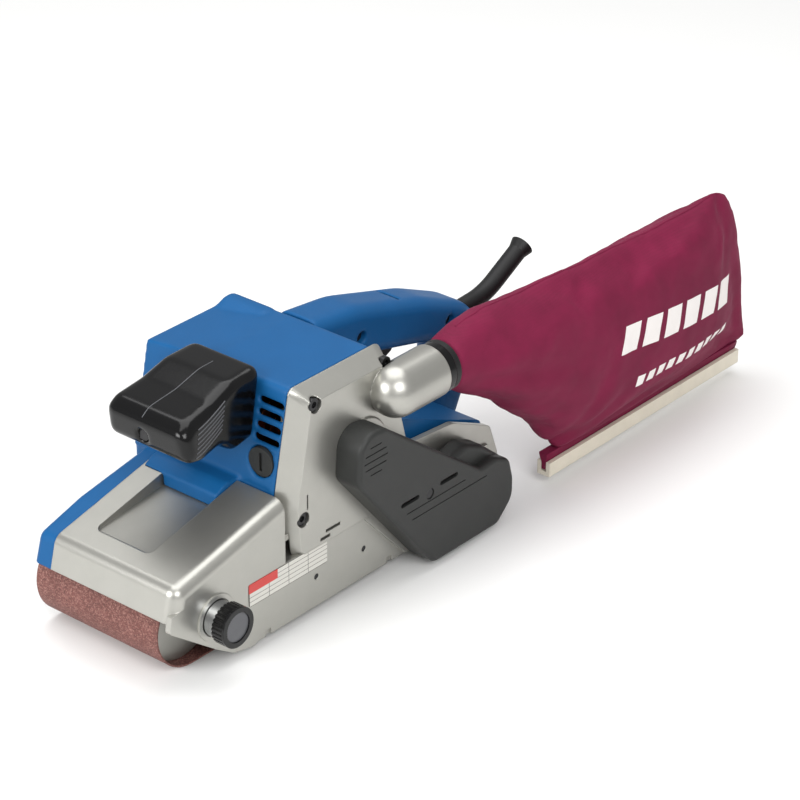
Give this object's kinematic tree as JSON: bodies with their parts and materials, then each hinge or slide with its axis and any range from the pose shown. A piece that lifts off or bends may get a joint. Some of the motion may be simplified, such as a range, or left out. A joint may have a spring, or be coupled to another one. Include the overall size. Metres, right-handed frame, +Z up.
{
  "type": "handheld belt sander",
  "caption": "Handheld belt sander with sanding belt on two rollers, transverse motor, timing belt drive, front grip, D-handle and cloth dust bag.",
  "frame": {"origin": "centre of the flat sanding face on the underside of the belt", "axes": "+X back along the belt from the front roller to the handle, +Y to the side where the belt slides off, +Z up from the work"},
  "size_m": [0.5525, 0.159, 0.1629],
  "materials": {
    "cast_silver": "silver painted casting",
    "dark_screw": "black oxide",
    "label": "printed film, left blank",
    "bearing_steel": "ground",
    "sheet_steel": "pressed",
    "cork": "pressed cork",
    "graphite": "graphite",
    "spring_steel": "oiled",
    "black_plastic": "fine moulded",
    "timing_rubber": "neoprene",
    "lamination": "laminated",
    "copper": "enamelled wire",
    "brass": "turned",
    "blue_plastic": "satin moulded",
    "black_rubber": "moulded",
    "gloss_black": "glossy moulded",
    "roller_alloy": "turned",
    "shaft_steel": "turned",
    "pulley_alloy": "machined",
    "knob_black": "knurled",
    "grey_plastic": "moulded",
    "abrasive": "aluminium oxide grit on cloth",
    "bag_cloth": "woven cloth",
    "cream_plastic": "extruded"
  },
  "bodies": {
    "housing": {"frame_casting": "cast_silver", "casing_screws": "dark_screw", "rating_plate": "label", "roller_bearings": "bearing_steel", "platen_plate": "sheet_steel", "cork_pad": "cork", "graphite_sheet": "graphite", "tracking_spring": "spring_steel", "gear_cover": "cast_silver", "timing_cover": "black_plastic", "timing_belt": "timing_rubber", "field_core": "lamination", "field_windings": "copper", "carbon_brushes": "graphite", "brush_holders": "brass", "brush_caps": "black_plastic", "bearing_plate": "cast_silver", "motor_bearings": "bearing_steel", "motor_housing": "blue_plastic", "right_side_cover": "blue_plastic", "rear_housing": "blue_plastic", "roller_guard": "cast_silver", "handle_left": "blue_plastic", "handle_right": "blue_plastic", "switch_body": "black_plastic", "speed_module": "black_plastic", "cord_guard": "black_rubber", "grip_left": "gloss_black", "grip_right": "gloss_black", "grip_screws": "dark_screw", "lever_pin": "spring_steel", "tension_spring": "spring_steel"},
    "drive_roller": {"drive_roller_core": "roller_alloy", "drive_roller_sleeve": "black_rubber", "drive_shaft": "shaft_steel", "big_pulley": "pulley_alloy"},
    "tension_carriage": {"tension_yoke": "cast_silver", "idler_shaft": "shaft_steel"},
    "idler": {"idler_roller": "roller_alloy", "idler_bush": "brass"},
    "lever": {"tension_lever": "sheet_steel"},
    "knob": {"tracking_knob": "knob_black", "knob_disc": "grey_plastic", "tracking_screw": "shaft_steel"},
    "armature": {"armature_shaft": "shaft_steel", "armature_core": "lamination", "armature_windings": "copper", "commutator": "brass", "cooling_fan": "black_plastic"},
    "jackshaft": {"jackshaft": "shaft_steel", "reduction_gear": "shaft_steel", "small_pulley": "pulley_alloy"},
    "trigger": {"trigger": "black_plastic"},
    "lock_button": {"lock_button": "black_plastic"},
    "dial": {"speed_dial": "grey_plastic"},
    "abrasive_belt": {"sanding_belt": "abrasive"},
    "collar": {"dust_collar": "black_plastic"},
    "bag": {"bag_neck_ring": "black_plastic", "dust_bag": "bag_cloth"},
    "rail": {"bag_rail": "cream_plastic"}
  },
  "joints": [
    {"name": "drive_roller_spin", "type": "hinge", "parent": "housing", "child": "drive_roller", "pos_m": [0.10773, 0, 0.029], "axis": [0, 1, 0], "continuous": true},
    {"name": "tension_slide", "type": "slide", "parent": "housing", "child": "tension_carriage", "axis": [1, 0, 0], "range_m": [0, 0.008], "deforming": ["tension_spring"]},
    {"name": "idler_spin", "type": "hinge", "parent": "tension_carriage", "child": "idler", "pos_m": [-0.10773, 0, 0.029], "axis": [0, 1, 0], "continuous": true},
    {"name": "tension_lever_turn", "type": "hinge", "parent": "housing", "child": "lever", "pos_m": [-0.028, 0, 0.029], "axis": [0, -1, 0], "range_deg": [0, 38]},
    {"name": "tracking_knob_turn", "type": "hinge", "parent": "housing", "child": "knob", "pos_m": [-0.10773, 0, 0.04], "axis": [0, 1, 0], "range_deg": [-540, 540]},
    {"name": "jackshaft_spin", "type": "hinge", "parent": "housing", "child": "jackshaft", "pos_m": [0.02, 0, 0.097], "axis": [0, 1, 0], "continuous": true},
    {"name": "armature_spin", "type": "hinge", "parent": "housing", "child": "armature", "pos_m": [-0.004, 0, 0.106], "axis": [0, 1, 0], "continuous": true},
    {"name": "trigger_press", "type": "slide", "parent": "housing", "child": "trigger", "axis": [0, 0, 1], "range_m": [0, 0.004], "stiffness_N_per_m": 900, "springref_m": -0.002},
    {"name": "lock_button_press", "type": "slide", "parent": "housing", "child": "lock_button", "axis": [0, -1, 0], "range_m": [0, 0.0025], "stiffness_N_per_m": 600, "springref_m": -0.002},
    {"name": "speed_dial_turn", "type": "hinge", "parent": "housing", "child": "dial", "pos_m": [0.07, 0, 0.134], "axis": [0, 1, 0], "range_deg": [0, 270]},
    {"name": "belt_slide_off", "type": "slide", "parent": "housing", "child": "abrasive_belt", "axis": [0, 1, 0], "range_m": [0, 0.11]},
    {"name": "collar_slide", "type": "slide", "parent": "housing", "child": "collar", "axis": [1, 0, 0], "range_m": [0, 0.03]},
    {"name": "bag_swivel", "type": "hinge", "parent": "collar", "child": "bag", "pos_m": [0.084, -0.078, 0.131], "axis": [1, 0, 0], "range_deg": [-60, 4]},
    {"name": "rail_slide", "type": "slide", "parent": "bag", "child": "rail", "axis": [1, 0, 0], "range_m": [0, 0.215]}
  ],
  "couplings": [
    {"joint": "idler_spin", "follows": "drive_roller_spin", "ratio": 1},
    {"joint": "jackshaft_spin", "follows": "drive_roller_spin", "ratio": 2},
    {"joint": "armature_spin", "follows": "drive_roller_spin", "ratio": -6},
    {"joint": "tension_lever_turn", "follows": "tension_slide", "rad_per_m": 82.903}
  ]
}
